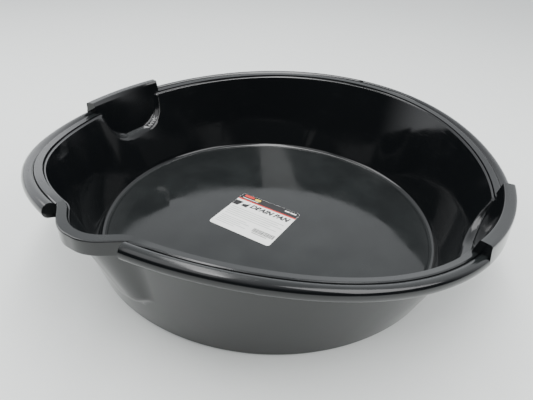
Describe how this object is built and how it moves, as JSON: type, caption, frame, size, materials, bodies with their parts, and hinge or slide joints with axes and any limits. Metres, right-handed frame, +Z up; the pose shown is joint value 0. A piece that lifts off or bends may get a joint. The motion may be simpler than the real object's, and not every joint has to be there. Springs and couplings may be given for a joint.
{
  "type": "oil drain pan",
  "caption": "Low round moulded drain pan with a pouring spout, two raised hand grips, a rolled rim that dips at the grips, a hanging hole and a floor label.",
  "frame": {"origin": "centre of the round base, on the surface the pan stands on", "axes": "+Z up, -Y towards the pouring spout, +Y towards the hanging hole, +X and -X towards the hand grips"},
  "size_m": [0.4404, 0.4502, 0.1244],
  "materials": {
    "pan_plastic": "glossy black moulded polypropylene",
    "label_paper": "printed coated paper"
  },
  "bodies": {
    "root": {"pan_body": "pan_plastic", "label": "label_paper"}
  },
  "joints": []
}
